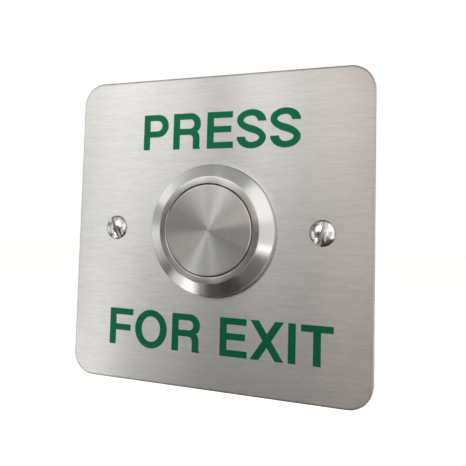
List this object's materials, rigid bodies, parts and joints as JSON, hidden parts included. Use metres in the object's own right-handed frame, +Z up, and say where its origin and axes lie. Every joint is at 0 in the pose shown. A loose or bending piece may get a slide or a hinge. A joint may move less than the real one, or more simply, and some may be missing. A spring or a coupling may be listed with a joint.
{
  "type": "door exit button",
  "caption": "Square steel wall plate with rounded corners and a large round sprung push button in a polished bezel, words printed in green above and below, screw terminals behind.",
  "frame": {"origin": "the middle of the plate's back face, on the axis of the button", "axes": "+Z is up on the wall, the front faces -Y, and +Y runs into the wall along the button's axis and the fixing screws"},
  "size_m": [0.086, 0.0341, 0.086],
  "materials": {
    "plate_steel": "stainless, brushed from side to side",
    "legend_green": "printed ink, satin",
    "screw_steel": "stainless, polished",
    "bezel_steel": "stainless, turned and polished",
    "cap_steel": "stainless, spun finish",
    "spring_steel": "drawn spring wire and strip, bright",
    "zinc_steel": "zinc plated, satin",
    "nickel_brass": "nickel plated, satin",
    "terminal_brass": "bare, satin",
    "bridge_copper": "copper strip, bright",
    "contact_silver": "silver plated rivets, bright",
    "seal_rubber": "black, matt",
    "plunger_plastic": "moulded, red",
    "block_plastic": "moulded, black, fine grain"
  },
  "bodies": {
    "housing": {"face_plate": "plate_steel", "legend_print": "legend_green", "fixing_screws": "screw_steel", "bezel_body": "bezel_steel", "bezel_gasket": "seal_rubber", "lock_washer": "zinc_steel", "mounting_nut": "nickel_brass", "return_spring": "spring_steel", "block_housing": "block_plastic", "rest_terminal_left": "terminal_brass", "rest_terminal_right": "terminal_brass", "pressed_terminal_left": "terminal_brass", "pressed_terminal_right": "terminal_brass", "fixed_contacts": "contact_silver", "terminal_base": "block_plastic", "base_circlip": "spring_steel", "wire_screws": "zinc_steel", "clamp_washers": "zinc_steel"},
    "button": {"push_cap": "cap_steel", "cap_seal": "seal_rubber", "stem_clip": "spring_steel", "plunger": "plunger_plastic", "contact_spring": "spring_steel", "contact_bridge": "bridge_copper", "bridge_contacts": "contact_silver"}
  },
  "joints": [
    {"name": "button_travel", "type": "slide", "parent": "housing", "child": "button", "axis": [0, 1, 0], "range_m": [0, 0.0025], "stiffness_N_per_m": 780, "springref_m": -0.00305, "deforming": ["return_spring"]}
  ]
}
